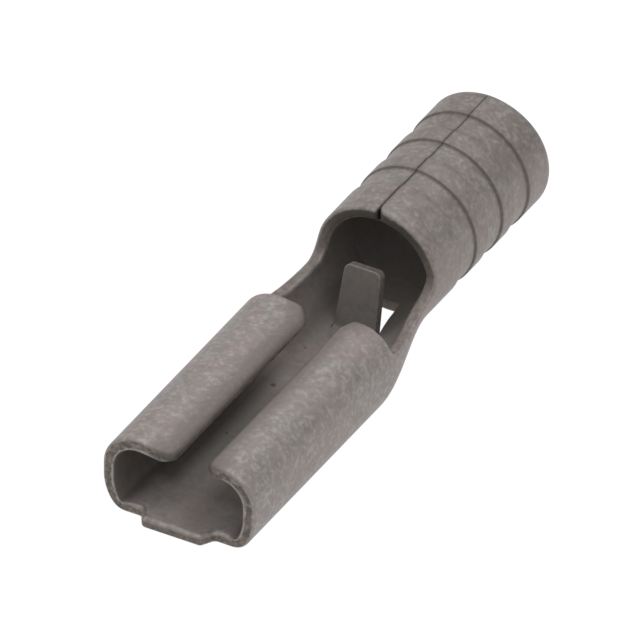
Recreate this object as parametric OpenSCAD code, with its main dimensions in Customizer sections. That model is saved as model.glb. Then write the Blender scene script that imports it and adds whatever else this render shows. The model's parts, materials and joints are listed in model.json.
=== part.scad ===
// Female spade terminal, bare: one piece folded from sheet.
// Y runs from the mouth (low Y) to the wire barrel, X across, Z up.
// The origin is at the centre of the terminal's length and width, on its underside.

/* [Sheet] */
// Thickness of the sheet
sheet_t = 0.3; // [0.2:0.01:0.4]

/* [Receptacle] */
// Outer width of the receptacle
recept_w = 3.9; // [3.3:0.05:5]
// Outer height over the curls
recept_h = 2.09; // [1.8:0.01:2.6]
// Length of the receptacle from its mouth to the back of its curls
recept_l = 6.4; // [4.5:0.05:8]
// Outer radius of the two bends beside the floor
floor_bend_r = 0.77; // [0.45:0.01:0.9]
// Outer radius of the two curls
curl_r = 0.9; // [0.5:0.01:0.95]
// How far the curls turn past level
curl_dip = 6.5; // [0:0.5:12]
// Distance from the centre plane to the edge of the left curl
left_curl_gap = 0.13; // [0.04:0.01:0.7]
// Distance from the centre plane to the edge of the right curl
right_curl_gap = 0.62; // [0.04:0.01:0.85]
// Radius that the curls' outside has along the slot between them
slot_roll_r = 0.24; // [0.02:0.01:0.28]
// Corner radius of the left curl at its back
left_back_r = 0.45; // [0.1:0.05:1]
// Corner radius of the right curl at its back
right_back_r = 0.35; // [0.1:0.05:0.6]
// Corner radius of both curls at the mouth
mouth_corner_r = 0.3; // [0.05:0.01:0.3]

/* [Tongue] */
// How far the tongue reaches out of the mouth
tongue_l = 0.33; // [0.1:0.01:0.6]
// Width of the tongue at its tip
tongue_tip_w = 1.5; // [0.8:0.05:1.8]
// Width of the tongue at its root
tongue_root_w = 1.9; // [1.2:0.05:2.2]
// Radius of the tongue's tip corners and of the fillets at its root
tongue_r = 0.12; // [0.03:0.01:0.14]

/* [Neck] */
// Length of the neck between the receptacle and the barrel
neck_l = 2.55; // [2.2:0.05:4]
// Height of the neck's walls
neck_h = 1.4; // [1:0.01:1.6]
// Radius where a neck wall turns up into the receptacle
recept_fillet_r = 0.25; // [0.1:0.01:0.4]
// Radius where a neck wall turns up into the barrel
barrel_fillet_r = 0.45; // [0.1:0.01:0.45]

/* [Wire stop] */
// Distance from the barrel back to the stop's root
stop_setback = 1.0; // [0.8:0.05:1.4]
// Height of the stop above the neck's floor
stop_h = 1.53; // [0.8:0.01:1.8]
// Lean of the stop towards the barrel, from upright
stop_lean = 15; // [5:1:30]
// Inner radius of the bend at the stop's root
stop_bend_r = 0.12; // [0.05:0.01:0.3]
// Width of the stop at its root
stop_root_w = 1.1; // [0.6:0.01:1.1]
// Width of the stop at its tip
stop_tip_w = 0.92; // [0.4:0.01:1]
// How far the stop and its window sit to the left of the centre plane
stop_offset = 0.06; // [0:0.01:0.15]
// Corner radius of the stop's tip
stop_corner_r = 0.14; // [0.05:0.01:0.18]
// Length of the window that the stop was struck up from
window_l = 1.53; // [1.2:0.01:2.4]
// Width of the window at the stop's root
window_near_w = 1.3; // [1.1:0.01:1.4]
// Width of the window at its far end
window_far_w = 0.92; // [0.4:0.01:1.1]
// Corner radius of the window's far end
window_corner_r = 0.12; // [0.03:0.01:0.14]

/* [Barrel] */
// Outer diameter of the wire barrel
barrel_d = 3.12; // [2.4:0.02:3.6]
// Length of the wire barrel
barrel_l = 5.22; // [3.5:0.01:7]
// Height of the barrel's underside above the floor's underside
barrel_rise = 0.03; // [0:0.01:0.3]
// Width of the butted seam along the top
seam_gap = 0.04; // [0.02:0.01:0.2]
// Corner radius of the seam's edges at the front of the barrel
lip_corner_r = 0.2; // [0.05:0.01:0.4]
// Number of grooves round the barrel
groove_count = 3; // [0:1:3]
// Distance from the barrel's front to the first groove
groove_start = 1.11; // [0.5:0.01:1.4]
// Distance from one groove to the next
groove_pitch = 1.19; // [0.9:0.01:1.3]
// Width of a groove
groove_w = 0.71; // [0.3:0.01:0.8]
// Depth of a groove
groove_depth = 0.04; // [0.01:0.005:0.1]
// Length of the gentle slope down into a groove, on its mouth side
groove_slope_l = 0.15; // [0.05:0.01:0.2]
// Length of the steep step up out of a groove
groove_step_l = 0.03; // [0.01:0.01:0.08]
// Chamfer round the outer edge of the barrel's rear end
end_chamfer = 0.12; // [0.02:0.01:0.12]

/* [Hidden] */
$fn = 96;

overall_l = tongue_l + recept_l + neck_l + barrel_l;
mouth_y = tongue_l - overall_l / 2;
recept_end_y = mouth_y + recept_l;
barrel_y = recept_end_y + neck_l;
barrel_r = barrel_d / 2;
bore_r = barrel_r - sheet_t;
barrel_z = barrel_rise + barrel_r;
floor_half = recept_w / 2 - floor_bend_r;
curl_half = recept_w / 2 - curl_r;
curl_z = recept_h - curl_r;
stop_y = barrel_y - stop_setback;
lap = 0.3;              // how far one stretch runs on inside the next
skin = 0.01;            // how far what runs on inside a wall stays below its surfaces
ease = 0.91;            // below 1, the neck narrows sooner on its way to the barrel
nick = 0.02;            // how far a corner cutter reaches past the edges that it rounds
far = 2 * overall_l;    // longer than any cut
neck_steps = 16;        // stretches along the neck
fillet_steps = 6;       // stretches along each of its fillets
strip_steps = 36;       // stretches across the neck's sheet

// ---- the receptacle ----

// A bent strip in the plane, t thick with outer radius r, from the angle a on through sweep
module bend(r, t, a, sweep) {
    difference() {
        circle(r);
        circle(r - t);
        rotate(a) translate([-far, -far]) square([2 * far, far]);
        rotate(a + sweep) translate([-far, 0]) square([2 * far, far]);
    }
}

// A core inside a t thick sheet with outer radius r, tying a bend to the straight after it
module tie(r, t) {
    translate([-skin, r - t + skin]) square([2 * skin, t - 2 * skin]);
}

// The right half of the receptacle's section, with its curl's edge at gap
module half_section(gap) {
    run = (curl_half - gap - curl_r * sin(curl_dip)) / cos(curl_dip);
    roll = min(slot_roll_r, sheet_t - skin);
    translate([-skin, 0]) square([floor_half + skin, sheet_t]);
    translate([floor_half, floor_bend_r]) bend(floor_bend_r, sheet_t, -90, 90);
    translate([recept_w / 2 - sheet_t, floor_bend_r])
        square([sheet_t, curl_z - floor_bend_r]);
    translate([curl_half, curl_z]) {
        bend(curl_r, sheet_t, 0, 90 + curl_dip);
        rotate(curl_dip) {
            difference() {
                translate([-run, curl_r - sheet_t]) square([run, sheet_t]);
                translate([-run, curl_r]) corner_waste(roll, 1, -1);
            }
            tie(curl_r, sheet_t);
        }
    }
}

// What a corner of radius r loses, with the edges that meet there along sx X and sy Y
module corner_waste(r, sx, sy) {
    mirror([sx < 0 ? 1 : 0, 0]) mirror([0, sy < 0 ? 1 : 0]) difference() {
        translate([-nick, -nick]) square(r + nick);
        translate([r, r]) circle(r);
    }
}

// The corners of the curls, cut down through them and no deeper
module curl_corners() {
    translate([0, 0, curl_z]) linear_extrude(recept_h) {
        translate([-left_curl_gap, recept_end_y]) corner_waste(left_back_r, -1, -1);
        translate([-left_curl_gap, mouth_y]) corner_waste(mouth_corner_r, -1, 1);
        translate([right_curl_gap, recept_end_y]) corner_waste(right_back_r, 1, -1);
        translate([right_curl_gap, mouth_y]) corner_waste(mouth_corner_r, 1, 1);
    }
}

module receptacle() {
    difference() {
        translate([0, recept_end_y, 0]) rotate([90, 0, 0]) linear_extrude(recept_l) {
            half_section(right_curl_gap);
            mirror([1, 0]) half_section(left_curl_gap);
        }
        curl_corners();
    }
}

// ---- the tongue ----

// A trapezoid from y = 0 to l, w0 wide at y = 0 and w1 at y = l, with its corners at l rounded
module tab_plan(w0, w1, l, r) {
    slope = atan2((w0 - w1) / 2, l);
    inset = r * (1 - sin(slope)) / cos(slope);
    difference() {
        polygon([[-w0 / 2, 0], [w0 / 2, 0], [w1 / 2, l], [-w1 / 2, l]]);
        for (side = [-1, 1]) translate([side * w1 / 2, l])
            difference() {
                circle(inset);
                translate([-side * inset, -r]) circle(r);
            }
    }
}

// The fillet between the floor's front edge and a side of the tongue, at their corner
module root_fillet() {
    slope = atan2((tongue_root_w - tongue_tip_w) / 2, tongue_l);
    run = tongue_r * (1 - sin(slope)) / cos(slope);
    difference() {
        circle(run);
        translate([run, tongue_r]) circle(tongue_r);
    }
}

module tongue() {
    linear_extrude(sheet_t) translate([0, mouth_y]) mirror([0, 1]) {
        translate([0, -lap]) square([tongue_tip_w, 2 * lap], center = true);
        tab_plan(tongue_root_w, tongue_tip_w, tongue_l, tongue_r);
        for (side = [0, 1]) mirror([side, 0])
            translate([tongue_root_w / 2, 0]) root_fillet();
    }
}

// ---- the neck ----

// How far the section has changed from the receptacle's, 0, to the barrel's, 1
function blend(y) =
    let (u = pow(min(1, max(0, (y - recept_end_y + lap) / (neck_l + lap))), ease))
    u * u * (3 - 2 * u);
function mix(from, to, b) = from + (to - from) * b;

// The four lengths of the half section at blend b: its floor, bend, upright and curl
function shape(b) = [
    mix(floor_half, 0, b), mix(floor_bend_r, barrel_r, b),
    mix(curl_z - floor_bend_r, 0, b), mix(curl_r, barrel_r, b)];
function arc_length(r, degrees) = PI * r * degrees / 180;
function degrees_of(length, r) = 180 * length / (PI * r);

// The point of a half section at v along its outside, depth into the sheet
function section_point(s, v, depth) =
    let (a = s[0], r = s[1], up = s[2], q = s[3], bent = a + arc_length(r, 90))
    v <= a ? [v, depth] :
    v <= bent ? let (t = degrees_of(v - a, r))
        [a + (r - depth) * sin(t), r - (r - depth) * cos(t)] :
    v <= bent + up ? [a + r - depth, r + v - bent] :
    let (t = degrees_of(v - bent - up, q))
        [a + r - q + (q - depth) * cos(t), r + up + (q - depth) * sin(t)];

// The distance along the outside of a half section to the height z
function reach_of(s, z) =
    let (a = s[0], r = s[1], up = s[2], q = s[3])
    z <= r ? a + arc_length(r, acos(1 - z / r)) :
    z <= r + up ? a + arc_length(r, 90) + z - r :
    a + arc_length(r, 90) + up + arc_length(q, asin(min(1, (z - r - up) / q)));

// The height of a neck wall's edge at y, with a fillet at each end
function wall_top(y) =
    let (back = y - recept_end_y, ahead = barrel_y - y,
         r0 = recept_fillet_r, r1 = barrel_fillet_r)
    neck_h + (back < r0 ? r0 - sqrt(max(0, r0 * r0 - pow(r0 - max(0, back), 2))) :
        ahead < r1 ? r1 - sqrt(max(0, r1 * r1 - pow(r1 - max(0, ahead), 2))) : 0);

// The neck's stations along Y, closest together in the fillets
neck_y = concat(
    [recept_end_y - lap],
    [for (i = [0 : fillet_steps - 1]) recept_end_y + recept_fillet_r * (1 - cos(90 * i / fillet_steps))],
    [for (i = [0 : neck_steps]) mix(recept_end_y + recept_fillet_r, barrel_y - barrel_fillet_r, i / neck_steps)],
    [for (i = [1 : fillet_steps]) barrel_y - barrel_fillet_r * (1 - sin(90 * i / fillet_steps))],
    [barrel_y + lap]);

// One station: the sheet's outline from edge to edge outside, then back inside
function station(y) =
    let (b = blend(y), s = shape(b), top = reach_of(s, wall_top(y) - barrel_rise * b))
    [for (depth = [skin, sheet_t - skin])
        for (i = [0 : strip_steps])
            let (u = 2 * i / strip_steps - 1, v = depth == skin ? u : -u,
                 p = section_point(s, abs(v) * top, depth))
            [sign(v) * p[0], y, p[1] + barrel_rise * b]];

// A solid through a list of loops that all have the same number of points
module loft(loops) {
    n = len(loops[0]);
    last = len(loops) - 1;
    polyhedron(
        points = [for (loop = loops) for (p = loop) p],
        faces = concat(
            [for (i = [0 : last - 1]) for (j = [0 : n - 1])
                [i * n + j, i * n + (j + 1) % n, (i + 1) * n + (j + 1) % n, (i + 1) * n + j]],
            strip_ends(n, 0, true), strip_ends(n, last * n, false)),
        convexity = 8);
}

// The faces that close a strip's end, one across the sheet at each step
function strip_ends(n, base, front) =
    [for (j = [0 : n / 2 - 2])
        let (f = [base + j, base + j + 1, base + n - 2 - j, base + n - 1 - j])
        front ? [f[3], f[2], f[1], f[0]] : f];

module neck() {
    loft([for (y = neck_y) station(y)]);
}

// ---- the wire stop and its window ----

module window() {
    translate([-stop_offset, stop_y, -lap]) linear_extrude(barrel_z)
        tab_plan(window_near_w, window_far_w, window_l, window_corner_r);
}

// The stop: a strip that bends up out of the floor, then leans towards the barrel
module stop() {
    turn = 90 - stop_lean;
    t = sheet_t - 2 * skin;
    bend_r = t + stop_bend_r;
    floor_z = barrel_rise * blend(stop_y) + skin;
    flat_l = (stop_h - stop_bend_r * (1 - cos(turn))) / sin(turn);
    translate([-stop_offset, stop_y, floor_z]) {
        translate([-stop_root_w / 2, -lap, 0]) cube([stop_root_w, lap, t]);
        translate([0, 0, bend_r]) {
            rotate([90, 0, 90]) linear_extrude(stop_root_w, center = true) {
                bend(bend_r, t, -90, turn);
                rotate(turn) mirror([0, 1]) tie(bend_r, t);
            }
            rotate([turn, 0, 0]) translate([0, 0, -bend_r]) linear_extrude(t)
                tab_plan(stop_root_w, stop_tip_w, flat_l, stop_corner_r);
        }
    }
}

// ---- the barrel ----

// The barrel's wall in the plane of its axis, grooved outside
module barrel_profile() {
    smooth_l = barrel_l - end_chamfer;
    starts = [for (i = [0 : 1 : groove_count - 1]) groove_start + i * groove_pitch];
    floor_r = barrel_r - groove_depth;
    polygon(concat(
        [[bore_r, 0], [barrel_r, 0]],
        [for (g = starts) if (g + groove_w < smooth_l) each [
            [barrel_r, g],
            [floor_r, g + groove_slope_l],
            [floor_r, g + groove_w - groove_step_l],
            [barrel_r, g + groove_w]]],
        [[barrel_r, smooth_l], [barrel_r - end_chamfer, barrel_l], [bore_r, barrel_l]]));
}

// The butted seam, with its corners rounded off at the barrel's front
module seam() {
    translate([-seam_gap / 2, barrel_y - nick, barrel_z])
        cube([seam_gap, barrel_l + 2 * nick, barrel_d]);
    translate([0, 0, barrel_z]) linear_extrude(barrel_d)
        for (side = [-1, 1]) translate([side * seam_gap / 2, barrel_y])
            corner_waste(lip_corner_r, side, 1);
}

module barrel() {
    difference() {
        translate([0, barrel_y, barrel_z]) rotate([-90, 0, 0])
            rotate_extrude() barrel_profile();
        seam();
    }
}

module terminal() {
    color("silver") {
        difference() {
            union() {
                receptacle();
                tongue();
                neck();
                barrel();
            }
            window();
        }
        stop();
    }
}

terminal();
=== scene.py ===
"""A bare female spade terminal: a blank of tin-plated sheet, cut flat and then folded."""

import json
import math
from contextlib import contextmanager
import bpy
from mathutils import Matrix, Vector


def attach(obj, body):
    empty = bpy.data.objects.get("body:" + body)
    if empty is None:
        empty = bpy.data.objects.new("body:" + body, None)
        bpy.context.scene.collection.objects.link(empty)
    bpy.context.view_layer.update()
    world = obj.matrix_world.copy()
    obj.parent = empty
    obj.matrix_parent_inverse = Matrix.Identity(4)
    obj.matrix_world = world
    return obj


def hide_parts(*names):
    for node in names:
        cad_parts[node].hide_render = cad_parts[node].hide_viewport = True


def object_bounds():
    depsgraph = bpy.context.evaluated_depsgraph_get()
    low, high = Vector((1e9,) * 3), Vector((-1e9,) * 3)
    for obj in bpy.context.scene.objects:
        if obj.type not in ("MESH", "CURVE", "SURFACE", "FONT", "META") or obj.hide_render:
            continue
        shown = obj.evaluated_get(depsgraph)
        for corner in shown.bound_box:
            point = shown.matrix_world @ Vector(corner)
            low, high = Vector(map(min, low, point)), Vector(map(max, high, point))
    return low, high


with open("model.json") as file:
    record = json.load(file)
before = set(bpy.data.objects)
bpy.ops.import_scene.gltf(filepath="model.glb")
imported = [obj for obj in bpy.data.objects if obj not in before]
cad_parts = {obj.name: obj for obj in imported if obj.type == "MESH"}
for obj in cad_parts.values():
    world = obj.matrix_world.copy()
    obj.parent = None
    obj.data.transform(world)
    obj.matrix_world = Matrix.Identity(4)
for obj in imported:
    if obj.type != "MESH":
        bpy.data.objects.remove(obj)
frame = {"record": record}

from types import SimpleNamespace

import bpy
import numpy as np
from bpy.props import FloatProperty, FloatVectorProperty, IntProperty, PointerProperty
from mathutils import Vector

bl_info = {
    "name": "Female spade terminal",
    "version": (1, 0, 0),
    "blender": (4, 5, 0),
    "location": "View3D > Sidebar > Terminal",
    "description": "Folds a tin-plated spade terminal from its flat blank",
    "category": "Object",
}

NODE = "terminal"
SLOT = "tinned_sheet"
MM = 0.001
CAD_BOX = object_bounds()
BORE = next(m["dims"] for m in frame["record"]["mounts"] if m["name"] == "wire_bore")


# ---- sizes and colours ----

def length(name, description, millimetres):
    """A property that holds a length, given in millimetres and kept in metres."""
    return FloatProperty(
        name=name, description=description, default=millimetres * MM,
        min=0, unit="LENGTH", precision=5)


def angle(name, description, degrees):
    """A property that holds an angle, given in degrees."""
    return FloatProperty(
        name=name, description=description, default=math.radians(degrees), unit="ROTATION")


def number(name, description, value, most=1):
    """A property that holds a plain number, or a share."""
    return FloatProperty(name=name, description=description, default=value, min=0, max=most)


def colour(name, description, value):
    """A property that holds a linear colour."""
    return FloatVectorProperty(
        name=name, description=description, default=value, size=3,
        min=0, max=1, subtype="COLOR")


class SheetSizes(bpy.types.PropertyGroup):
    """The sheet and its sheared edges."""
    thickness: length("Thickness", "Thickness of the sheet", 0.3)
    roll: length("Die roll", "Radius that shearing leaves on the outer edge", 0.09)
    seam_roll: length("Seam die roll", "Radius on the outer edges along the seam", 0.015)
    tail_roll: length("Tail roll", "Radius that the barrel's outside has at its rear end", 0.2)
    tail_more: length("Tail roll at the seam", "How much wider that radius is at the seam", 0.07)
    tail_turn: angle("Tail turn", "How far round from below it starts to widen", math.degrees(2))
    slot_roll: length("Slot roll", "How far from the slot the curls' outside starts to roll down", 0.36)
    slot_drop: length("Slot drop", "How far the curls' outside has rolled down at the slot", 0.204)
    lift_reach: length("Lift reach", "How far from the slot the curls' inside starts to roll up", 0.2)
    lift: length("Lift", "How far the curls' inside has rolled up at the slot", 0.085)
    burr: length("Burr", "Radius left on the inner edge", 0.018)
    lead: length("Lead-in", "Radius of the inner edge where the tab enters over the floor", 0.15)
    wall_round: length("Wall rounding", "Radius of the inner edge of the neck's walls and the lips", 0.12)


class ReceptacleSizes(bpy.types.PropertyGroup):
    """The receptacle, its curls and its tongue."""
    long: length("Length", "From the mouth to the back of the curls", 6.4)
    high: length("Height", "Outer height over the curls", 2.09)
    heel: length("Heel", "Outer radius of the tight bend beside the floor", 0.45)
    heel_turn: angle("Heel turn", "How far the tight bend turns before the wider one takes over", 55)
    flank: length("Flank", "Outer radius of the wide bend from the heel to the upright", 1.2)
    coin: number("Coining", "Share of the thickness that is pressed out of the heel's inside", 0.12)
    coin_at: number("Coining place", "Where along the heel the coining is deepest", 0.8)
    coin_reach: length("Coining reach", "How far the coining fades out either way", 0.6)
    curl: length("Curl", "Outer radius of the curls", 0.9)
    dip: angle("Dip", "How far the curls turn past level", 6.5)
    left_gap: length("Left gap", "From the centre plane to the left curl's edge", 0.13)
    right_gap: length("Right gap", "From the centre plane to the right curl's edge", 0.62)
    left_back: length("Left back corner", "Corner radius of the left curl at its back", 0.45)
    right_back: length("Right back corner", "Corner radius of the right curl at its back", 0.35)
    mouth_corner: length("Mouth corner", "Corner radius of the curls at the mouth", 0.3)
    tongue_long: length("Tongue length", "How far the tongue reaches out of the mouth", 0.33)
    tongue_tip: length("Tongue tip", "Width of the tongue at its tip", 1.5)
    tongue_root: length("Tongue root", "Width of the tongue at its root", 1.9)
    tongue_corner: length("Tongue corner", "Radius of the tongue's corners and root fillets", 0.12)


class NeckSizes(bpy.types.PropertyGroup):
    """The open neck between the receptacle and the barrel."""
    high: length("Height", "Height of the neck's walls", 1.4)
    lap: length("Lap", "How far inside the receptacle the neck's change of section starts", 0.3)
    near_fillet: length("Receptacle fillet", "Radius from a wall up to the receptacle", 0.25)
    far_fillet: length("Barrel fillet", "Radius from a wall up to the barrel", 0.45)
    sway: length("Wall sway", "How far the walls' edge dips at the middle and rises at the barrel", 0.085)
    sway_end: number("Dip's end", "Share of the neck's length at which the dip turns into the rise", 0.7)
    ease: number("Ease", "Below 1, the neck narrows sooner on its way to the barrel", 0.91, 1.5)


class StopSizes(bpy.types.PropertyGroup):
    """The wire stop and the window that it was struck up from."""
    setback: length("Setback", "From the barrel back to the stop's root", 1.0)
    high: length("Height", "Height of the stop above the neck's floor", 1.53)
    lean: angle("Lean", "Lean of the stop towards the barrel, from upright", 15)
    bend: length("Bend", "Inner radius of the bend at the stop's root", 0.12)
    root: length("Root width", "Width of the stop at its root", 1.1)
    tip: length("Tip width", "Width of the stop at its tip", 0.92)
    corner: length("Tip corner", "Corner radius of the stop's tip", 0.14)
    offset: length("Offset", "How far the stop sits to the left of the centre plane", 0.06)
    window_long: length("Window length", "Length of the window", 1.53)
    window_near: length("Window near width", "Width of the window at the stop's root", 1.3)
    window_far: length("Window far width", "Width of the window at its far end", 0.92)
    window_corner: length("Window corner", "Corner radius of the window's far end", 0.12)


class BarrelSizes(bpy.types.PropertyGroup):
    """The rolled wire barrel, its seam and its grooves."""
    rise: length("Rise", "Height of the barrel's underside above the floor's", 0.03)
    seam: length("Seam", "Width of the butted seam", 0.002)
    left_lip: length("Left lip corner", "Corner radius of the seam's left edge at the front", 0.08)
    right_lip: length("Right lip corner", "Corner radius of the seam's right edge at the front", 0.26)
    tail_corner: length("Tail corner", "Corner radius of the seam's edges at the rear", 0.05)
    seam_soil: length("Seam soil", "How far the soil reaches from the seam", 0.045)
    soil_left: number("Soil left", "Share of the seam's soil that is left at the rear end", 0.35)
    soil_fade: number("Soil fade", "Share of it that is lost over the barrel's length", 0.9)
    grooves: IntProperty(name="Grooves", description="Grooves round the barrel", default=3, min=0)
    groove_start: length("Groove start", "From the barrel's front to the first groove", 1.11)
    groove_pitch: length("Groove pitch", "From one groove to the next", 1.19)
    groove_wide: length("Groove width", "Width of a groove", 0.71)
    groove_deep: length("Groove depth", "Depth of a groove", 0.04)
    groove_slope: length("Groove slope", "Length of the slope down into a groove", 0.15)
    groove_step: length("Groove step", "Length of the steep step out of a groove", 0.03)
    # The groove lines: painted shade at each foot, and a fainter dark line at each brow.
    foot_line: length("Foot line", "How far the dark line at a groove's foot reaches", 0.054)
    brow_line: length("Brow line", "How far the faint line at a groove's brow reaches", 0.075)
    brow_share: number("Brow share", "Share of the dark line's darkness that it has", 0.15)


class FinishColours(bpy.types.PropertyGroup):
    """The colours of the plated sheet and of its bare sheared edges."""
    tin: colour("Tin", "The plating's middle tone", (0.290, 0.249, 0.236))
    tin_cool: colour("Cool tin", "Patches with less of the warm tone", (0.270, 0.247, 0.233))
    # Also painted light on the barrel's lower side and on the terminal's floor under the slot.
    tin_pale: colour("Pale tin", "Crystals that catch the light", (0.47, 0.43, 0.41))
    # Also painted shade on the barrel's top and along the curls' strips beside the slot.
    tin_dark: colour("Dark tin", "Hollows between the crystals", (0.165, 0.141, 0.132))
    # Also painted shade inside the receptacle, the neck and the barrel, and at the curls' front corners.
    soil: colour("Soil", "What gathers in creases and marks", (0.05, 0.043, 0.032))
    # Painted shade at the feet of the grooves' steps.
    groove: colour("Groove", "The lines at the feet of the grooves", (0.085, 0.066, 0.058))
    fracture: colour("Fracture", "The rough dark band of a sheared edge", (0.105, 0.092, 0.078))
    rust: colour("Rust", "Brown spots in that band", (0.19, 0.158, 0.133))
    # Also a painted highlight along that band.
    burr: colour("Burr", "The bright band along the inside of a sheared edge", (0.31, 0.29, 0.27))


class StudioSettings(bpy.types.PropertyGroup):
    """The camera, the floor and the light."""
    azimuth: angle("Azimuth", "The camera's direction round the terminal", 29.649)
    elevation: angle("Elevation", "The camera's height above the horizon", 36.211)
    span: length("Span", "Width of what the camera sees", 14.303)
    aim: FloatVectorProperty(
        name="Aim", description="The point that the camera looks at", size=3, unit="LENGTH",
        default=(-0.293 * MM, 0.003 * MM, 1.312 * MM), precision=5)
    floor: length("Floor", "Half the width of the floor", 400)
    paper: colour("Paper", "The floor's colour", (0.65, 0.65, 0.65))
    white: number("White", "Brightness of the floor where it is seen or mirrored", 1.1, 2)
    bleach: number("Bleach", "Share of the floor's look that is even white", 0.9)
    zenith: number("Zenith", "Light from overhead", 1.38, 5)
    horizon: number("Horizon", "Light from the sides", 0.59, 5)
    lean: number("Lean", "How much more light comes from the left than from the right", 0.15)
    fore: number("Fore", "How much more light comes from behind than from in front", 0.16)


GROUPS = {
    "terminal_sheet": SheetSizes,
    "terminal_receptacle": ReceptacleSizes,
    "terminal_neck": NeckSizes,
    "terminal_stop": StopSizes,
    "terminal_barrel": BarrelSizes,
    "terminal_finish": FinishColours,
    "terminal_studio": StudioSettings,
}


def millimetres(group):
    """The group's values, with its lengths in millimetres."""
    values = {}
    for key, prop in group.bl_rna.properties.items():
        if key not in ("rna_type", "name"):
            value = getattr(group, key)
            values[key] = value / MM if getattr(prop, "unit", "") == "LENGTH" else value
    return SimpleNamespace(**values)


# ---- the fold ----

HALVINGS = 40  # Steps of the search for a height on a section
SLOT_EVEN = 0.2  # How far a curl's end keeps its full roll, as a share of its mouth corner

# Painted shade inside the receptacle and the neck, at the curls' front corners and along their strips
# beside the slot: darkness from 0 to 1, and places in millimetres.
PAINTED_SHADE = SimpleNamespace(
    # The inside of the flanks and curls, from this far onto the floor.
    cavity=0.75, cavity_start=0.35,
    # The floor under each curl, from this far left of the middle, deepening over the fade.
    left=0.9, left_start=0.6, left_fade=0.35,
    right=0.95, right_start=0.2, right_fade=0.6,
    # Both begin this far behind the mouth, where the right one has a share of its darkness.
    mouth_start=0.9, mouth_fade=0.5, mouth_right=0.6,
    # All of these begin to fade this far before the receptacle's back.
    back_start=0.8, back_fade=1.3,
    # A line this far in from the left edge of the neck's floor, which ends inside the barrel.
    neck=0.7, neck_inset=0.15, neck_reach=0.4, neck_fade=0.5, neck_end=1,
    # Painted shade at the curls' front corners: its reach from the edge, the mouth and the slot.
    tip=0.7, tip_reach=0.08, tip_long=0.25, tip_fade=0.2, tip_wide=0.14, tip_side=0.35,
    # The band of each curl along the slot, painted darker as shade on its rolled edge.
    strip=0.281, strip_fade=0.312,
)


def smooth(u):
    """An ease from 0 to 1."""
    u = min(1, max(0, u))
    return u * u * (3 - 2 * u)


def mix(start, end, share):
    return start + (end - start) * share


def rise(values, start, wide):
    """How far each value has come past a start over a width, from 0 to 1."""
    return np.clip((values - start) / wide, 0, 1)


def bell(values, middle, reach):
    """1 where a value is at the middle, fading out over a reach to either side."""
    return np.exp(-((values - middle) / reach) ** 2)


def rolled(away, reach, drop):
    """How far an edge that rolls over has dropped, at a distance from where it ends."""
    left = min(1, max(0, 1 - away / reach))
    return drop * (1 - math.sqrt(1 - left ** 2))


class Section:
    """Half of the folded sheet's outside: straight and curved runs, from the middle outwards."""

    def __init__(self, runs):
        self.runs = runs
        self.end = sum(long for long, _ in runs)

    def trace(self, along):
        """The place and the heading at a distance along the outside."""
        across = up = heading = 0
        for long, radius in self.runs:
            step = min(along, long)
            if radius:
                turned = heading + step / radius
                across += radius * (math.sin(turned) - math.sin(heading))
                up += radius * (math.cos(heading) - math.cos(turned))
                heading = turned
            else:
                across += step * math.cos(heading)
                up += step * math.sin(heading)
            along -= step
        return across + along * math.cos(heading), up + along * math.sin(heading), heading

    def point(self, along, depth):
        """The place at a distance along the outside and a depth into the sheet."""
        across, up, heading = self.trace(along)
        return across - depth * math.sin(heading), up + depth * math.cos(heading)

    def reach(self, height):
        """The distance along the outside to a height."""
        low, high = 0, self.end
        for _ in range(HALVINGS):
            half = (low + high) / 2
            if self.trace(half)[1] < height and self.trace(half)[2] < math.pi:
                low = half
            else:
                high = half
        return low


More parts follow.
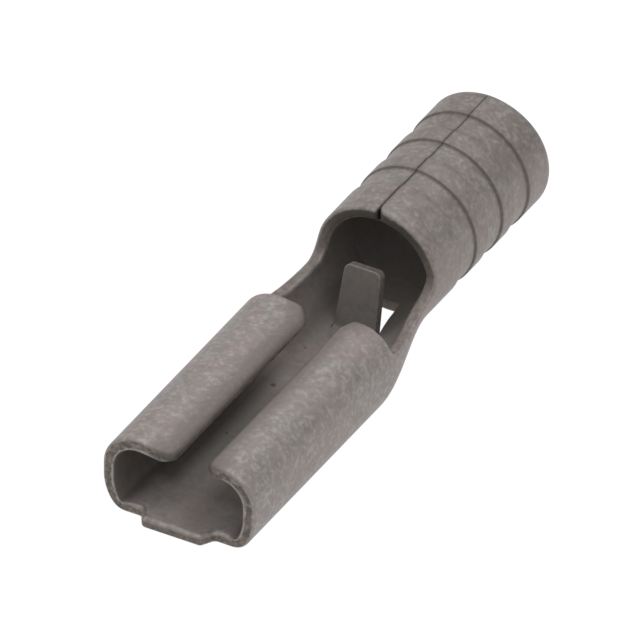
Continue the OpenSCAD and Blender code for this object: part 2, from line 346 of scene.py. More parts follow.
class Fold:
    """Where the flat blank's points go when the terminal is folded. All lengths are in millimetres."""

    def __init__(self, scene):
        self.sheet = millimetres(scene.terminal_sheet)
        self.recept = millimetres(scene.terminal_receptacle)
        self.neck = millimetres(scene.terminal_neck)
        self.stop = millimetres(scene.terminal_stop)
        self.barrel = millimetres(scene.terminal_barrel)
        low, high = CAD_BOX
        self.tip_y, self.end_y = low.y / MM, high.y / MM
        self.wide = (high.x - low.x) / MM
        self.mouth_y = self.tip_y + self.recept.tongue_long
        self.back_y = self.mouth_y + self.recept.long
        self.barrel_y = self.end_y - BORE["length_mm"]
        self.barrel_r = BORE["r_mm"] + self.sheet.thickness
        self.stop_y = self.barrel_y - self.stop.setback
        self.slit = (self.stop.window_near - self.stop.root) / 2
        self.flat_stop = self.stop.window_long - 2 * self.slit
        self.half_round = math.pi * self.barrel_r
        self.seam_edge = self.half_round - self.barrel.seam / 2
        self.receptacle = self.section(0)
        self.floor, self.heel = (long for long, _ in self.receptacle.runs[:2])
        self.lap_reach = self.wall_reach(self.back_y)
        self.stop_rise = self.barrel.rise * self.share(self.stop_y)

    def share(self, y):
        """How far the section has changed from the receptacle's, 0, to the barrel's, 1."""
        start = self.back_y - self.neck.lap
        u = min(1, max(0, (y - start) / (self.barrel_y - start)))
        return smooth(u ** self.neck.ease)

    def section(self, share):
        """The section that has changed by a share from the receptacle's to the barrel's."""
        r, rest = self.recept, math.pi / 2 - self.recept.heel_turn
        sine, cosine = math.sin(r.heel_turn), math.cos(r.heel_turn)
        floor = self.wide / 2 - r.flank * (1 - sine) - r.heel * sine
        upright = r.high - r.curl - r.heel * (1 - cosine) - r.flank * cosine
        heel, flank, curl = (mix(size, self.barrel_r, share) for size in (r.heel, r.flank, r.curl))
        return Section([
            (mix(floor, 0, share), 0), (heel * r.heel_turn, heel), (flank * rest, flank),
            (mix(upright, 0, share), 0), (curl * (math.pi / 2 + mix(r.dip, 0, share)), curl)])

    def wall_top(self, y):
        """The height of a neck wall at y, with a fillet at each end."""
        near, far = self.neck.near_fillet, self.neck.far_fillet
        back, ahead = max(0, y - self.back_y), max(0, self.barrel_y - y)
        top = self.neck.high
        if back < near:
            return top + near - math.sqrt(near ** 2 - (near - back) ** 2)
        if ahead < far:
            return top + far - math.sqrt(far ** 2 - (far - ahead) ** 2)
        return top

    def wall_reach(self, y):
        """The half width of the blank where the neck is."""
        share = self.share(y)
        return self.section(share).reach(self.wall_top(y) - self.barrel.rise * share)

    def coining(self, along, share):
        """The share of the thickness that is left beside the heel."""
        r = self.recept
        away = abs(along - self.floor - self.heel * r.coin_at) / r.coin_reach
        return 1 - r.coin * smooth(1 - away) * (1 - share)

    def curl_reach(self, side):
        """The half width of the blank where the receptacle is, on the side -1 or 1."""
        gap = self.recept.left_gap if side < 0 else self.recept.right_gap
        across, _, heading = self.receptacle.trace(self.receptacle.end)
        return self.receptacle.end - (across - gap) / math.cos(heading)

    def groove(self, y):
        """How far a groove lowers the barrel's outside at y."""
        b = self.barrel
        for i in range(b.grooves):
            y0 = y - self.barrel_y - b.groove_start - i * b.groove_pitch
            if 0 <= y0 <= b.groove_wide:
                rising = (b.groove_wide - y0) / b.groove_step
                return b.groove_deep * min(smooth(y0 / b.groove_slope), smooth(rising))
        return 0

    def wall_edge(self, y):
        """How far the neck's wall reaches, a little lower at its middle and higher at the barrel."""
        past = (y - self.back_y) / (self.barrel_y - self.back_y)
        return self.wall_reach(y) - self.neck.sway * math.sin(math.pi * past / self.neck.sway_end)

    def crease(self, y):
        """How near each place along Y is to the foot or the brow of a groove, from 0 to 1: painted shade
        at the foot, and a fainter dark line at the brow.
        """
        b, near = self.barrel, np.zeros(len(y))
        for i in range(b.grooves):
            brow = self.barrel_y + b.groove_start + i * b.groove_pitch
            foot = brow + b.groove_wide - b.groove_step
            near += bell(y, foot, b.foot_line) + b.brow_share * bell(y, brow, b.brow_line)
        return near

    def seam_shade(self, flat):
        """How near each point is to the barrel's seam, from 0 to 1, and less towards its rear end."""
        b, across, y = self.barrel, np.abs(flat[:, 0]), flat[:, 1]
        from_end = (self.end_y - y) / (self.end_y - self.barrel_y)
        fade = np.clip(b.soil_left + b.soil_fade * from_end, 0, 1)
        return bell(across, self.half_round, b.seam_soil) * (y > self.barrel_y) * fade

    def recess_shade(self, flat):
        """How dark the painted shade inside is, from 0 to 1, deepest beside the heels and under the
        curls.
        """
        t, x, y = PAINTED_SHADE, flat[:, 0], flat[:, 1]
        heels = bell(np.abs(x), self.floor + self.heel / 2, self.heel)
        cavity = t.cavity * rise(np.abs(x), self.floor - t.cavity_start, self.heel + t.cavity_start)
        from_mouth = rise(y, self.mouth_y + t.mouth_start, t.mouth_fade)
        left = t.left * rise(-x, t.left_start, t.left_fade) * from_mouth
        right = t.right * rise(x, -t.right_start, t.right_fade)
        right = right * np.clip(from_mouth + t.mouth_right, 0, 1)
        receptacle = np.maximum.reduce([heels, cavity, left, right])
        receptacle = receptacle * (1 - rise(y, self.back_y - t.back_start, t.back_fade))
        in_neck = rise(y, self.back_y, t.neck_fade) * (y < self.barrel_y + t.neck_end)
        neck = t.neck * bell(x, t.neck_inset - self.floor, t.neck_reach) * in_neck
        return np.maximum(receptacle, neck)

    def from_slot(self, x):
        """How far each place across is from the end of its curl, beside the slot."""
        return np.where(x < 0, self.curl_reach(-1), self.curl_reach(1)) - np.abs(x)

    def tip_shade(self, flat, edge):
        """How dark the painted shade is where each curl's front corner turns into the slot."""
        t, x, y = PAINTED_SHADE, flat[:, 0], flat[:, 1]
        near_mouth = 1 - rise(y, self.mouth_y + t.tip_long, t.tip_fade)
        near_slot = 1 - rise(self.from_slot(x), t.tip_wide, t.tip_side)
        return t.tip * bell(edge, 0, t.tip_reach) * near_mouth * near_slot

    def strip(self, flat, edge):
        """1 on the band of a curl along the slot that is painted darker as shade, fading to 0 away from
        it.
        """
        t, x, y = PAINTED_SHADE, flat[:, 0], flat[:, 1]
        away = np.maximum(edge, self.from_slot(x) - self.recept.mouth_corner / 2)
        return (1 - rise(away, t.strip, t.strip_fade)) * (y < self.back_y)

    def stop_half(self, u):
        """The half width of the folded stop at a share u of its length."""
        return mix(self.stop.root, self.stop.tip, u) / 2

    def flat_half(self, u):
        """The half width of the stop in the blank, where it has to lie inside its window."""
        return mix(self.stop.root, self.stop.window_far - 2 * self.slit, u) / 2

    def on_stop(self, x, y):
        """True for the blank's points that are nearer to the stop than to the rim of its window."""
        u = (y - self.stop_y) / self.flat_stop
        return 0 < u < 1 + self.slit / self.flat_stop and (
            abs(x + self.stop.offset) < self.flat_half(u) + self.slit / 2)

    def stop_point(self, x, y, depth):
        """The stop bends up out of the floor, then leans towards the barrel."""
        s, t = self.stop, self.sheet.thickness
        turn, outer = math.pi / 2 - s.lean, s.bend + t
        straight = (s.high - s.bend * (1 - math.cos(turn))) / math.sin(turn)
        u = (y - self.stop_y) / self.flat_stop
        x = (x + s.offset) * self.stop_half(u) / self.flat_half(u) - s.offset
        along = u * (outer * turn + straight)
        a, r = min(turn, along / outer), outer - depth
        past = max(0, along - outer * turn)
        _, curve = self.section(self.share(self.stop_y)).point(abs(x), 0)
        level = self.stop_rise + curve * (1 - smooth(along / (outer * turn)))
        return (x, self.stop_y + r * math.sin(a) + past * math.cos(a),
                level + outer - r * math.cos(a) + past * math.sin(a))

    def near_slot(self, x):
        """1 at a curl's end beside the slot, falling to 0 away from it."""
        away = (self.curl_reach(math.copysign(1, x)) - abs(x)) / self.recept.mouth_corner
        return 1 - smooth(away - SLOT_EVEN)

    def slump(self, x, y, edge):
        """How far the outside rolls down along the slot and at the barrel's rear end."""
        sheet = self.sheet
        if y > self.barrel_y:
            turned = abs(x) / self.barrel_r
            roll = sheet.tail_roll + sheet.tail_more * smooth(turned - sheet.tail_turn)
            return rolled(self.end_y - y, roll, roll)
        if y > self.back_y:
            return 0
        return self.near_slot(x) * rolled(edge, sheet.slot_roll, sheet.slot_drop)

    def lift(self, x, y, edge):
        """How far the inside rolls up along the slot."""
        rolled_up = rolled(edge, self.sheet.lift_reach, self.sheet.lift)
        return self.near_slot(x) * rolled_up * (y < self.back_y)

    def sheet_point(self, x, y, depth, edge):
        """The sheet's edges roll, the barrel gets its grooves, and the section bends what is left."""
        side, along = math.copysign(1, x), abs(x)
        share, thick = self.share(y), self.sheet.thickness
        through = depth / thick
        depth += self.slump(x, y, edge) * (1 - through) - self.lift(x, y, edge) * through
        if y > self.barrel_y:
            depth += self.groove(y) * (1 - depth / thick)
        if share < 1:
            depth *= self.coining(along, share)
        across, up = self.section(share).point(along, depth)
        if 0 < share and y < self.back_y:
            keep = smooth((along - self.lap_reach) / self.neck.lap + 1)
            straight = self.receptacle.point(along, depth)
            across, up = mix(across, straight[0], keep), mix(up, straight[1], keep)
        return side * across, y, up + self.barrel.rise * share

    def place(self, blank_point, edge):
        """Where a point of the blank goes, given its distance from the outline."""
        x, y, depth = blank_point
        if self.on_stop(x, y):
            return Vector(self.stop_point(x, y, depth)) * MM
        return Vector(self.sheet_point(x, y, depth, edge)) * MM


# ---- the blank ----

# Lengths are in millimetres.
ARC_STEPS = 10  # Steps round a rounded corner
WALL_STEPS = 40  # Steps along the edge of a neck wall
FADE_STEPS = 12  # Steps over a fade of the inner edge's radius
ROLL_STEPS = 4  # Steps round a sheared edge
COLUMN_STEP = 0.09  # Between the cuts lengthways
RECEPTACLE_STEP = 0.2  # Between the cuts across the receptacle and the barrel
NECK_STEP = 0.07  # Between the cuts across the neck
SLOT_CUTS = 9  # Lengthways, over the roll beside the slot
TAIL_CUTS = 6  # Across, over the roll at the rear end
STEP_CUTS = 4  # Across, over a groove's slope or its step
WIDER_CUTS = (-1.5, -0.7, 3, 4)  # Across, round that step, in its lengths
SEAM_CUTS = (0.7, 1.2, 2)  # Lengthways, beside the seam, in reaches of its soil
FADE = 0.6  # Over which the inner edge's radius changes
SLIT_END = 0.45  # Corner radius of a slit's closed end, as a share of its width
INSIDE = 0.9  # Depth past which a point is on the inside, as a share of the thickness
SAME = 1e-4  # Points that are nearer than this are at one place
ON_LINE = 0.01  # How far past a line an edge still counts as on it
SHARP = math.radians(38)


def corner(points, radius):
    """Rounds the middle one of three points with an arc of the given radius."""
    before, at, after = (Vector(p) for p in points)
    a, b = (before - at).normalized(), (after - at).normalized()
    half = a.angle(b) / 2
    reach = radius / math.tan(half)
    centre = at + (a + b).normalized() * (radius / math.sin(half))
    start, end = at + a * reach - centre, at + b * reach - centre
    sweep = math.pi - 2 * half
    side = 1 if start.x * end.y - start.y * end.x > 0 else -1
    arc = []
    for i in range(ARC_STEPS + 1):
        t = side * sweep * i / ARC_STEPS
        arc.append(centre + Vector((
            start.x * math.cos(t) - start.y * math.sin(t),
            start.x * math.sin(t) + start.y * math.cos(t))))
    return arc


def rounded(points, radii):
    """An open line through the points, with each inner corner rounded where it has a radius."""
    line = [Vector(points[0])]
    for i in range(1, len(points) - 1):
        if radii[i]:
            line += corner(points[i - 1:i + 2], radii[i])
        else:
            line.append(Vector(points[i]))
    return line + [Vector(points[-1])]


def outer_line(fold, side):
    """The blank's outer edge on one side, from its tongue's middle to its rear end's."""
    r, s, b = fold.recept, fold.stop, fold.barrel
    middle = -s.offset
    edge = fold.curl_reach(side)
    back_wall, barrel_wall = fold.wall_edge(fold.back_y), fold.wall_edge(fold.barrel_y)
    back_corner = r.left_back if side < 0 else r.right_back
    lip_corner = b.left_lip if side < 0 else b.right_lip
    root = r.tongue_root / 2
    beside = root + r.tongue_corner
    fade = [(side * (beside + FADE * k / FADE_STEPS), fold.mouth_y) for k in range(FADE_STEPS + 1)]
    front = rounded(
        [(middle, fold.tip_y), (side * r.tongue_tip / 2, fold.tip_y), (side * root, fold.mouth_y),
         *fade, (side * edge, fold.mouth_y), (side * edge, fold.back_y),
         (side * back_wall, fold.back_y)],
        [0, r.tongue_corner, r.tongue_corner, *[0] * len(fade), r.mouth_corner, back_corner, 0])
    walls = []
    for i in range(1, WALL_STEPS):
        y = mix(fold.back_y, fold.barrel_y, (1 - math.cos(math.pi * i / WALL_STEPS)) / 2)
        walls.append(Vector((side * fold.wall_edge(y), y)))
    rear = rounded(
        [(side * barrel_wall, fold.barrel_y), (side * fold.seam_edge, fold.barrel_y),
         (side * fold.seam_edge, fold.end_y), (middle, fold.end_y)],
        [0, lip_corner, b.tail_corner, 0])
    return front + walls + rear


def inner_line(fold, side):
    """The edge of the window and the stop on one side, from the window's far end to the stop's tip."""
    s = fold.stop
    middle, near_y = -s.offset, fold.stop_y
    far_y, tip_y = near_y + s.window_long, near_y + fold.flat_stop
    points = [
        (middle, far_y), (middle + side * s.window_far / 2, far_y),
        (middle + side * s.window_near / 2, near_y), (middle + side * s.root / 2, near_y),
        (middle + side * fold.flat_half(1), tip_y), (middle, tip_y)]
    end = fold.slit * SLIT_END
    return rounded(points, [0, s.window_corner, end, end, s.corner, 0])


def lay_out_blank(fold):
    """The flat blank: two faces that meet along the stop's middle line."""
    halves = []
    for side in (-1, 1):
        outline = outer_line(fold, side) + inner_line(fold, side)
        bpy.ops.mesh.primitive_circle_add(vertices=len(outline), fill_type="NGON")
        half = bpy.context.object
        for vert, point in zip(half.data.vertices, outline):
            vert.co = (point.x, point.y, 0)
        halves.append(half)
    select(halves)
    bpy.ops.object.join()
    blank = bpy.context.object
    blank.name = blank.data.name = "folded_sheet"
    with editing(blank):
        bpy.ops.mesh.select_all(action="SELECT")
        bpy.ops.mesh.remove_doubles(threshold=SAME)
        bpy.ops.mesh.extrude_region_move(
            TRANSFORM_OT_translate={"value": (0, 0, fold.sheet.thickness)})
        bpy.ops.mesh.select_all(action="SELECT")
        bpy.ops.mesh.normals_make_consistent(inside=False)
    return blank


def select(objects):
    """Selects these objects and nothing else, with the first one active."""
    bpy.ops.object.select_all(action="DESELECT")
    for item in objects:
        item.select_set(True)
    bpy.context.view_layer.objects.active = objects[0]


@contextmanager
def editing(piece):
    """Edit mode on one piece, for as long as the block runs."""
    select([piece])
    bpy.ops.object.mode_set(mode="EDIT")
    try:
        yield
    finally:
        bpy.ops.object.mode_set(mode="OBJECT")


def shear_edges(blank, fold):
    """Rolls the outline's outer edge and breaks its inner one, less along the seam."""
    sheet, mesh = fold.sheet, blank.data
    widest = max(sheet.roll, sheet.lead, sheet.wall_round)
    weights = mesh.attributes.new("bevel_weight_edge", "FLOAT", "EDGE")
    for edge in mesh.edges:
        a, b = (mesh.vertices[i].co for i in edge.vertices)
        if abs(a.z - b.z) > SAME or on_middle(a, b, fold):
            continue
        radius = sheet.roll
        across, along = abs(a.x + b.x) / 2, (a.y + b.y) / 2
        if a.z > sheet.thickness / 2:
            radius = inner_radius(across, along, fold)
        elif a.y > fold.barrel_y:
            from_seam = (fold.seam_edge - across) / fold.barrel.tail_corner
            radius = mix(sheet.seam_roll, sheet.roll, smooth(from_seam))
        weights.data[edge.index].value = radius / widest
    bevel = blank.modifiers.new("sheared edge", "BEVEL")
    bevel.limit_method = "WEIGHT"
    bevel.width = widest
    bevel.segments = ROLL_STEPS
    bevel.use_clamp_overlap = False
    select([blank])
    bpy.ops.object.modifier_apply(modifier=bevel.name)


def inner_radius(across, along, fold):
    """The radius of the blank's inner edge at a place on its outline."""
    sheet, root = fold.sheet, fold.recept.tongue_root / 2 + fold.recept.tongue_corner
    if along < fold.mouth_y + ON_LINE:
        return mix(sheet.lead, sheet.burr, smooth((across - root) / FADE))
    if across > root and fold.back_y < along < fold.barrel_y + ON_LINE:
        return mix(sheet.burr, sheet.wall_round, smooth((along - fold.back_y) / FADE))
    return sheet.burr


def on_middle(a, b, fold):
    """True for the edge that the blank's two halves share."""
    middle = -fold.stop.offset
    return abs(a.x - middle) < SAME and abs(b.x - middle) < SAME


def cut_lines(fold):
    """Where the blank is cut across, along Y, and lengthways, along X."""
    b, sheet = fold.barrel, fold.sheet
    reach = max(fold.curl_reach(-1), fold.half_round)
    columns = list(np.arange(-reach, reach, COLUMN_STEP))
    for side in (-1, 1):
        edge = fold.curl_reach(side)
        columns += [side * (edge - sheet.slot_roll * k / SLOT_CUTS) for k in range(1, SLOT_CUTS + 1)]
        columns += [side * (fold.half_round - b.seam_soil * k) for k in SEAM_CUTS]
    start, stop_bent = fold.back_y - fold.neck.lap, fold.stop_y + fold.flat_stop / 3
    rows = []
    for first, last, step in (
            (fold.mouth_y, start, RECEPTACLE_STEP), (start, fold.barrel_y, NECK_STEP),
            (fold.stop_y, stop_bent, NECK_STEP / 2), (fold.barrel_y, fold.end_y, RECEPTACLE_STEP)):
        rows += list(np.arange(first, last, step))
    rows += [fold.end_y - sheet.tail_roll * k / TAIL_CUTS for k in range(1, TAIL_CUTS + 3)]
    for i in range(b.grooves):
        near = fold.barrel_y + b.groove_start + i * b.groove_pitch
        far = near + b.groove_wide
        rows += [near + b.groove_slope * k / STEP_CUTS for k in range(STEP_CUTS + 1)]
        rows += [far - b.groove_step * k / STEP_CUTS for k in range(2 * STEP_CUTS + 1)]
        rows += [far - b.groove_step * k for k in WIDER_CUTS]
    return sorted(rows), columns


def bisect_blank(blank, fold):
    """Cuts the blank into small cells, so that it can bend."""
    rows, columns = cut_lines(fold)
    with editing(blank):
        for y in rows:
            bpy.ops.mesh.select_all(action="SELECT")
            bpy.ops.mesh.bisect(plane_co=(0, y, 0), plane_no=(0, 1, 0))
        for x in columns:
            bpy.ops.mesh.select_all(action="SELECT")
            bpy.ops.mesh.bisect(plane_co=(x, 0, 0), plane_no=(1, 0, 0))


def outline_distance(points, outlines):
    """How far each point is from the nearest outline, seen from above."""
    nearest = np.full(len(points), np.inf)
    for outline in outlines:
        ends = np.array([(p.x, p.y) for p in outline])
        for a, b in zip(ends[:-1], ends[1:]):
            along = b - a
            size = along @ along
            if size > 0:
                t = np.clip(((points - a) @ along) / size, 0, 1)
                gap = points - a - t[:, None] * along
                nearest = np.minimum(nearest, (gap ** 2).sum(1))
    return np.sqrt(nearest)


def fold_blank(blank, fold):
    """Keeps what the finish needs to know of the flat sheet, then folds it."""
    mesh = blank.data
    flat = np.zeros(len(mesh.vertices) * 3)
    mesh.vertices.foreach_get("co", flat)
    flat = flat.reshape(-1, 3)
    edges = [line(fold, side) for side in (-1, 1) for line in (outer_line, inner_line)]
    edge = outline_distance(flat[:, :2], edges)
    depth = flat[:, 2] / fold.sheet.thickness
    layers = {
        "edge": edge,
        "depth": depth,
        # Painted shade at the grooves' feet, and a fainter line at their brows.
        "crease": fold.crease(flat[:, 1]) * (depth < INSIDE),
        # A dark line along the seam, and painted shade at the curls' front corners and inside.
        "soil": np.maximum.reduce([
            fold.seam_shade(flat), fold.tip_shade(flat, edge),
            fold.recess_shade(flat) * (depth > INSIDE)]),
        # Painted shade along the curls' strips beside the slot.
        "strip": fold.strip(flat, edge) * (depth < INSIDE),
    }
    for name, values in layers.items():
        mesh.attributes.new(name, "FLOAT", "POINT").data.foreach_set("value", values)
    uv = mesh.uv_layers.new(name="sheet")
    size = fold.end_y - fold.tip_y
    for loop in mesh.loops:
        x, y, _ = flat[loop.vertex_index]
        uv.data[loop.index].uv = (0.5 + x / size, (y - fold.tip_y) / size)
    for vert, away in zip(mesh.vertices, edge):
        vert.co = fold.place(vert.co, away)
    mesh.update()


# ---- the finish ----

class Value:
    """A node socket that works in Python expressions, which add Math nodes."""

    def __init__(self, shader, socket):
        self.shader, self.socket = shader, socket

    def math(self, operation, *others):
        return self.shader.node("ShaderNodeMath", {"operation": operation}, self, *others)

    def __add__(self, other):
        return self.math("ADD", other)

    def __sub__(self, other):
        return self.math("SUBTRACT", other)

    def __rsub__(self, other):
        return self.shader.node("ShaderNodeMath", {"operation": "SUBTRACT"}, other, self)

    def __mul__(self, other):
        return self.math("MULTIPLY", other)

    __radd__, __rmul__ = __add__, __mul__


class Shader:
    """The node tree of a material or a world, written as expressions."""

    def __init__(self, owner):
        self.owner = owner
        owner.use_nodes = True
        self.tree = owner.node_tree
        self.tree.nodes.clear()

    def node(self, kind, settings, *inputs, output=0, **named):
        """Adds a node, with its settings first and then its inputs, and gives one of its outputs."""
        node = self.tree.nodes.new(kind)
        for key, value in settings.items():
            setattr(node, key, value)
        for key, value in [*enumerate(inputs), *named.items()]:
            key = key.replace("_", " ") if isinstance(key, str) else key
            if isinstance(value, Value):
                self.tree.links.new(value.socket, node.inputs[key])
            else:
                node.inputs[key].default_value = value
        return Value(self, node.outputs[output]) if node.outputs else None

    def finish(self, surface, output="ShaderNodeOutputMaterial"):
        """Sends a surface to the output and gives the material or world."""
        self.node(output, {}, Surface=surface)
        return self.owner

    def seen(self, *rays):
        """1 for these kinds of ray, and 0 for the others."""
        return sum(self.node("ShaderNodeLightPath", {}, output=ray) for ray in rays)

    def attribute(self, name):
        return self.node("ShaderNodeAttribute", {"attribute_name": name}, output="Fac")

    def ramp(self, value, start, end):
        """Runs smoothly from 0 where the value is start to 1 where it is end."""
        return self.node("ShaderNodeMapRange", {"interpolation_type": "SMOOTHSTEP"}, value, start, end)

    def noise(self, place, scale, detail=2, roughness=0.5):
        """Noise with about so many cells to a millimetre."""
        return self.node(
            "ShaderNodeTexNoise", {}, Vector=place, Scale=scale / MM, Detail=detail,
            Roughness=roughness, output="Fac")

    def blend(self, share, start, end):
        """A colour between two colours."""
        node = self.tree.nodes.new("ShaderNodeMix")
        node.data_type = "RGBA"
        for socket, value in (("Factor_Float", share), ("A_Color", start), ("B_Color", end)):
            target = next(i for i in node.inputs if i.identifier == socket)
            if isinstance(value, Value):
                self.tree.links.new(value.socket, target)
            else:
                target.default_value = (*value, 1)
        return Value(self, next(o for o in node.outputs if o.identifier == "Result_Color"))


# Where each zone of the finish begins and is full, in millimetres along Y or above the floor.
ZONES = {
    "behind_mouth": ("Y", -6.5, -4.5),
    "past_slot": ("Y", -1.2, -0.5),
    "neck": ("Y", -0.6, -0.4),
    "barrel": ("Y", -1, 2),
    "lip": ("Y", 1.7, 2),
    "tail": ("Y", 4.6, 6.2),
    "above_flank": ("Z", 0.1, 1.1),
    "wall_top": ("Z", 1.36, 1.46),
    "crown": ("Z", 1.9, 2.8),
}

# The dark specks on the floor: the centre and the radius of each, in millimetres.
SPECKS = [
    ((-0.67, -1.45, 0.3), 0.085),
    ((-0.68, -3.53, 0.3), 0.04),
    ((0.32, -5.79, 0.3), 0.04),
    ((-0.75, 0.12, 0.3), 0.05),
]
SPECK_RAGGED = 0.06  # How far a speck's outline wanders, in millimetres
SPECK_CORE = 0.4  # Share of a speck's radius over which it is darkest


def read_sheet(shader):
    """What the finish goes by: the place, what the fold has kept, the noises and the zones."""
    place = shader.node("ShaderNodeTexCoord", {}, output="Object")
    at = SimpleNamespace(place=place)
    for name in ("edge", "depth", "crease", "strip", "soil"):
        setattr(at, name, shader.attribute(name))
    at.clouds = shader.noise(place, 0.9)
    at.grain = shader.noise(place, 4.2, 3, 0.6)
    at.sparkle = shader.noise(place, 9, 1.5)
    axes = {axis: shader.node("ShaderNodeSeparateXYZ", {}, place, output=axis) for axis in "YZ"}
    for name, (axis, start, end) in ZONES.items():
        setattr(at, name, shader.ramp(axes[axis], start * MM, end * MM))
    at.wall = 1 - shader.ramp(at.edge, 0.002, 0.02)
    at.inside = shader.ramp(at.depth, 0.97, 0.995) * (1 - at.wall)
    return at


def plating(shader, finish, at):
    """The tin's colour: two tones in clouds, with darker hollows and pale crystals, painted shade on the
    barrel's top and the curls' slot strips, and painted light on the barrel's lower side and the
    terminal's floor under the slot.
    """
    ramp, blend = shader.ramp, shader.blend
    colour = blend(ramp(at.clouds, 0.42, 0.58), finish.tin, finish.tin_cool)
    hollows = (1 - ramp(at.grain, 0.30, 0.54)) * 0.35
    # Painted shade: the barrel's top, more towards its rear end, is darkened along with the grain's
    # hollows.
    hollows_and_top_shade = hollows + at.barrel * at.crown * 0.26 + at.tail * at.crown * 0.2
    colour = blend(hollows_and_top_shade, colour, finish.tin_dark)
    crystals = at.sparkle * 0.55 + at.grain * 0.3 + at.clouds * 0.15
    pale = ramp(crystals, 0.44, 0.70) * (0.54 - at.barrel * 0.14) + 0.05 * (1 - at.barrel)
    # Painted light: the barrel's lower side, as lit from the floor, and the terminal's floor under the
    # slot are paled.
    low_barrel_light = (1 - at.above_flank) * at.barrel
    slot_floor_light = at.inside * at.behind_mouth * (1 - at.past_slot)
    pale = (pale + low_barrel_light * 0.2) * (1 - at.inside * 0.6) + slot_floor_light * 0.65
    colour = blend(pale, colour, finish.tin_pale)
    # Painted shade along the curls' strips beside the slot.
    return blend(at.strip * 0.7, colour, finish.tin_dark)


def soiled_and_shaded(shader, finish, at, colour):
    """The colour with the specks on the floor, and painted shade inside the barrel."""
    wander = shader.noise(at.place, 12) * SPECK_RAGGED * MM
    for centre, radius in SPECKS:
        away = shader.node(
            "ShaderNodeVectorMath", {"operation": "DISTANCE"}, at.place, Vector(centre) * MM,
            output="Value")
        core, rim = (SPECK_RAGGED / 2 + radius * share for share in (SPECK_CORE, 1))
        speck = 1 - shader.ramp(away + wander, core * MM, rim * MM)
        colour = shader.blend(speck * 0.65, colour, finish.soil)
    # Painted shade inside the barrel.
    return shader.blend(at.inside * at.barrel * 0.45, colour, finish.soil)


def sheared(shader, finish, at, colour):
    """The colour with the torn band and the bright rim of sheared edges, and where the band is. The rim
    is the burr's pale metal with a painted highlight along it.
    """
    ramp, blend = shader.ramp, shader.blend
    ragged = at.depth + (shader.noise(at.place, 7, 3, 0.6) - 0.5) * (0.7 - at.lip * 0.4)
    shown = (1 - at.strip) * (1 - at.neck * (1 - at.wall_top))
    # The burr's pale rim, with a painted highlight along it.
    bright = at.wall * ramp(ragged, 0.72, 0.86) * (1 - at.lip) * shown
    rough = at.wall * ramp(ragged, 0.08, 0.30) * (1 - bright)
    speckle = shader.noise(at.place, 8, 2, 0.6)
    torn = blend(ramp(speckle, 0.40, 0.52), finish.fracture, finish.rust)
    torn = blend(ramp(speckle, 0.55, 0.68) * 0.6, torn, finish.burr)
    torn = blend(at.neck * 0.4, torn, finish.tin)
    torn = blend(at.lip * (0.45 + at.crown * 0.55), torn, finish.fracture)
    torn = blend(at.lip * at.crown * 0.75, torn, finish.soil)
    colour = blend(rough * 0.9, colour, torn)
    return blend(bright * (0.8 - at.neck * 0.6), colour, finish.burr), rough


def tinned_sheet(finish):
    """Dull tin with fine crystals, and the bare, rough metal of its sheared edges."""
    shader = Shader(bpy.data.materials.new(SLOT))
    at = read_sheet(shader)
    colour = soiled_and_shaded(shader, finish, at, plating(shader, finish, at))
    colour, rough = sheared(shader, finish, at, colour)
    # Painted shade at the feet of the grooves' steps, and a fainter line at their brows.
    colour = shader.blend(at.crease * 0.6, colour, finish.groove)
    # A dark line along the seam, and painted shade at the curls' front corners and inside the receptacle
    # and neck.
    colour = shader.blend(at.soil * 0.7, colour, finish.soil)
    fine = (at.grain + at.sparkle) * (1 - rough)
    coarse = shader.noise(at.place, 12, 2, 0.6) * rough * 2
    relief = shader.node("ShaderNodeBump", {}, Strength=0.3, Distance=0.01 * MM, Height=fine + coarse)
    surface = shader.node(
        "ShaderNodeBsdfPrincipled", {}, Base_Color=colour,
        Metallic=0.75 - at.inside * 0.5 - rough * 0.35 - at.crease * 0.35,
        Roughness=0.52 + (at.grain - 0.5) * 0.2 + at.inside * 0.22 + rough * 0.2, Normal=relief)
    return shader.finish(surface)


# ---- the studio ----

OVERHEAD = (0.15, 1.1)  # Heights of a direction between which the overhead light sets in
STAND_OFF = 7  # From the aim to the camera, in widths of what it sees


def lay_floor(studio):
    """A wide floor, diffuse for the light and close to even white where it is seen or mirrored."""
    bpy.ops.mesh.primitive_plane_add(size=2 * studio.floor)
    floor = bpy.context.object
    floor.name = "floor"
    shader = Shader(bpy.data.materials.new("paper"))
    paper = shader.node("ShaderNodeBsdfDiffuse", {}, Color=(*studio.paper, 1))
    white = shader.node("ShaderNodeEmission", {}, Color=(1, 1, 1, 1), Strength=studio.white)
    seen = shader.seen("Is Camera Ray", "Is Glossy Ray", "Is Transmission Ray")
    surface = shader.node("ShaderNodeMixShader", {}, seen * studio.bleach, paper, white)
    floor.data.materials.append(shader.finish(surface))


def light_studio(scene, studio):
    """A plain white surround, brighter overhead, that is even white where the camera sees it."""
    shader = Shader(bpy.data.worlds.new("studio"))
    direction = shader.node("ShaderNodeTexCoord", {}, output="Generated")
    across, back, height = (
        shader.node("ShaderNodeSeparateXYZ", {}, direction, output=axis) for axis in "XYZ")
    sides = studio.horizon - across * studio.lean + back * studio.fore
    overhead = shader.ramp(height, *OVERHEAD)
    light = sides + (studio.zenith - sides) * overhead
    seen = shader.seen("Is Camera Ray")
    surround = shader.node(
        "ShaderNodeBackground", {}, Color=(1, 1, 1, 1), Strength=seen + (1 - seen) * light)
    scene.world = shader.finish(surround, "ShaderNodeOutputWorld")
    scene.view_settings.view_transform = "Standard"


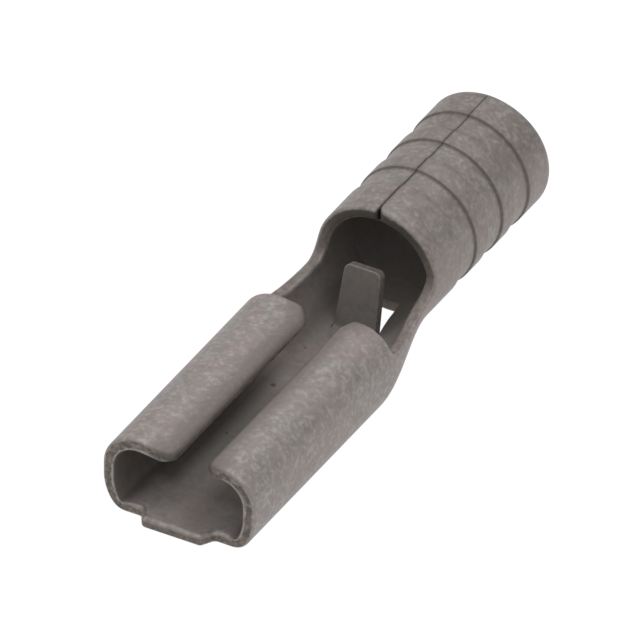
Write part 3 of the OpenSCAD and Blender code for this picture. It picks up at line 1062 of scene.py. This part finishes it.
def place_camera(scene, studio):
    """A camera without perspective, turned round its aim."""
    a, e = studio.azimuth, studio.elevation
    back = Vector((math.sin(a) * math.cos(e), -math.cos(a) * math.cos(e), math.sin(e)))
    camera = bpy.data.cameras.new("camera")
    camera.type = "ORTHO"
    camera.ortho_scale = studio.span
    camera.clip_start, camera.clip_end = 1 * MM, 2
    holder = bpy.data.objects.new("camera", camera)
    scene.collection.objects.link(holder)
    holder.location = Vector(studio.aim) + back * STAND_OFF * studio.span
    holder.rotation_mode = "QUATERNION"
    holder.rotation_quaternion = (-back).to_track_quat("-Z", "Y")
    scene.camera = holder


# ---- the operators ----

class TERMINAL_OT_sheet(bpy.types.Operator):
    """Cuts, folds and finishes the terminal's sheet"""
    bl_idname = "terminal.sheet"
    bl_label = "Folded sheet"

    def execute(self, context):
        fold = Fold(context.scene)
        piece = lay_out_blank(fold)
        shear_edges(piece, fold)
        bisect_blank(piece, fold)
        fold_blank(piece, fold)
        select([piece])
        bpy.ops.object.shade_smooth_by_angle(angle=SHARP)
        piece.data.materials.clear()
        piece.data.materials.append(tinned_sheet(context.scene.terminal_finish))
        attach(piece, "root")
        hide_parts(NODE)
        return {"FINISHED"}


class TERMINAL_OT_studio(bpy.types.Operator):
    """Sets the floor, the light and the camera"""
    bl_idname = "terminal.studio"
    bl_label = "Studio"

    def execute(self, context):
        studio = context.scene.terminal_studio
        lay_floor(studio)
        light_studio(context.scene, studio)
        place_camera(context.scene, studio)
        return {"FINISHED"}


class TERMINAL_PT_panel(bpy.types.Panel):
    """Lists the terminal's operators and its sizes"""
    bl_label = "Spade terminal"
    bl_idname = "TERMINAL_PT_panel"
    bl_space_type = "VIEW_3D"
    bl_region_type = "UI"
    bl_category = "Terminal"

    def draw(self, context):
        for operator in OPERATORS:
            self.layout.operator(operator.bl_idname)
        for key in GROUPS:
            group = getattr(context.scene, key)
            box = self.layout.box()
            box.label(text=type(group).__doc__)
            for name in type(group).__annotations__:
                box.prop(group, name)


OPERATORS = (TERMINAL_OT_sheet, TERMINAL_OT_studio)
CLASSES = (*GROUPS.values(), *OPERATORS, TERMINAL_PT_panel)


def register():
    for item in CLASSES:
        bpy.utils.register_class(item)
    for key, group in GROUPS.items():
        setattr(bpy.types.Scene, key, PointerProperty(type=group))


def unregister():
    for key in GROUPS:
        delattr(bpy.types.Scene, key)
    for item in reversed(CLASSES):
        bpy.utils.unregister_class(item)


def main():
    register()
    bpy.ops.terminal.studio()
    bpy.ops.terminal.sheet()


if __name__ == "__main__":
    main()
